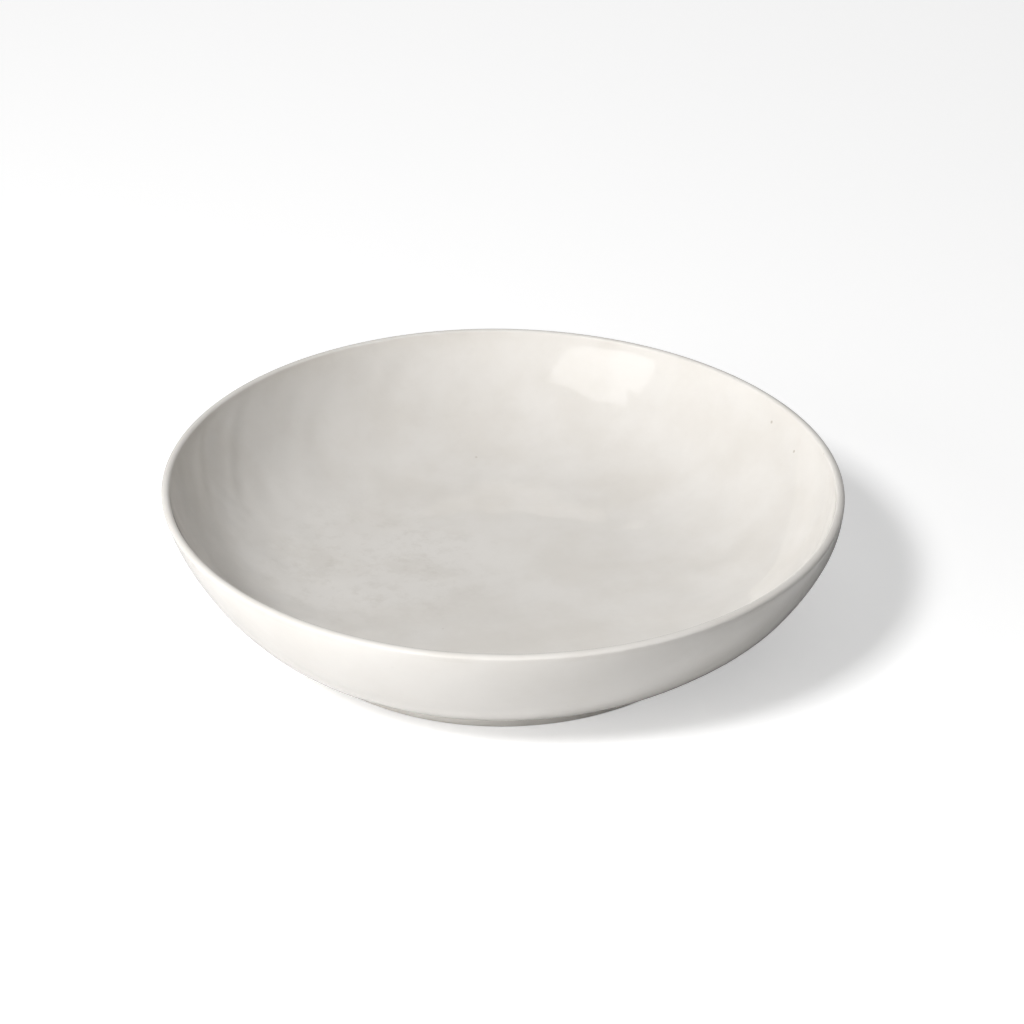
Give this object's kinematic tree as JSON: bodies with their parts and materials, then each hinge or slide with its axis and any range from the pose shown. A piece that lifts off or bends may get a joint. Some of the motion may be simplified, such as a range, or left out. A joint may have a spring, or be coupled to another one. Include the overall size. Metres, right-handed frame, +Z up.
{
  "type": "serving bowl",
  "caption": "Wide, shallow, hand-formed porcelain serving bowl with a thin rounded rim, a glossy warm-white glaze inside and out, and a low bare foot ring.",
  "frame": {"origin": "centre of the foot ring's footprint, on the table", "axes": "+Z up along the bowl's axis, +X along the long axis of the slightly oval rim, +Y along its short axis"},
  "size_m": [0.3342, 0.3258, 0.072],
  "materials": {
    "porcelain": "matte fired porcelain under the glaze",
    "bare_porcelain": "matte, unglazed where it meets the table",
    "inner_glaze": "glossy warm white with faint mottling and a few specks",
    "outer_glaze": "glossy warm white"
  },
  "bodies": {
    "root": {"bowl_body": "porcelain", "foot_ring": "bare_porcelain", "slip_joint": "porcelain", "inner_glaze": "inner_glaze", "outer_glaze": "outer_glaze", "well_glaze": "outer_glaze"}
  },
  "joints": []
}
